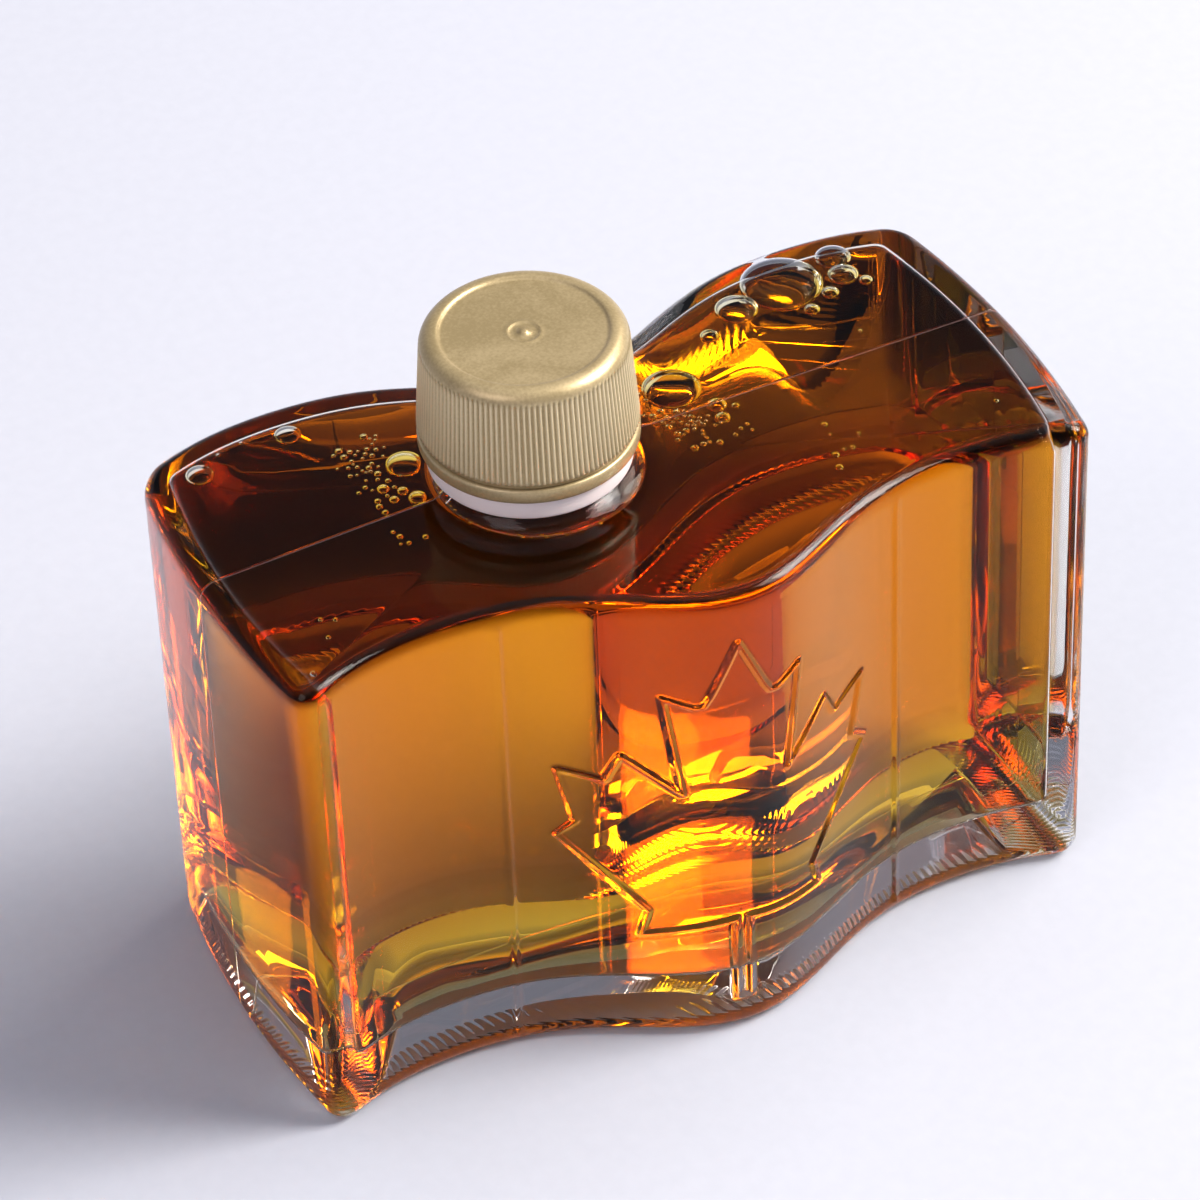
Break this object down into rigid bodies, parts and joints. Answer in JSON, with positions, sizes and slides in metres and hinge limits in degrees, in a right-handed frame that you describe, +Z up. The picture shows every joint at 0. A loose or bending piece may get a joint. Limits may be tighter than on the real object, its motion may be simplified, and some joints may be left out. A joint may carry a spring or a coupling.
{
  "type": "maple syrup bottle",
  "caption": "Clear glass bottle shaped like a waving flag, with a raised leaf outline on its front, full of amber maple syrup and shut by a gold ribbed screw cap.",
  "frame": {"origin": "middle of the base's bounding box, on the table", "axes": "+Z up along the neck, +X along the bottle's length away from the off-centre neck, -Y towards the leaf side"},
  "size_m": [0.1216, 0.0668, 0.1041],
  "materials": {
    "glass": "polished flint glass",
    "syrup": "clear amber syrup",
    "gold_plastic": "satin pearl gold"
  },
  "bodies": {
    "root": {"bottle": "glass", "syrup": "syrup", "cap": "gold_plastic", "tamper_band": "gold_plastic"}
  },
  "joints": []
}
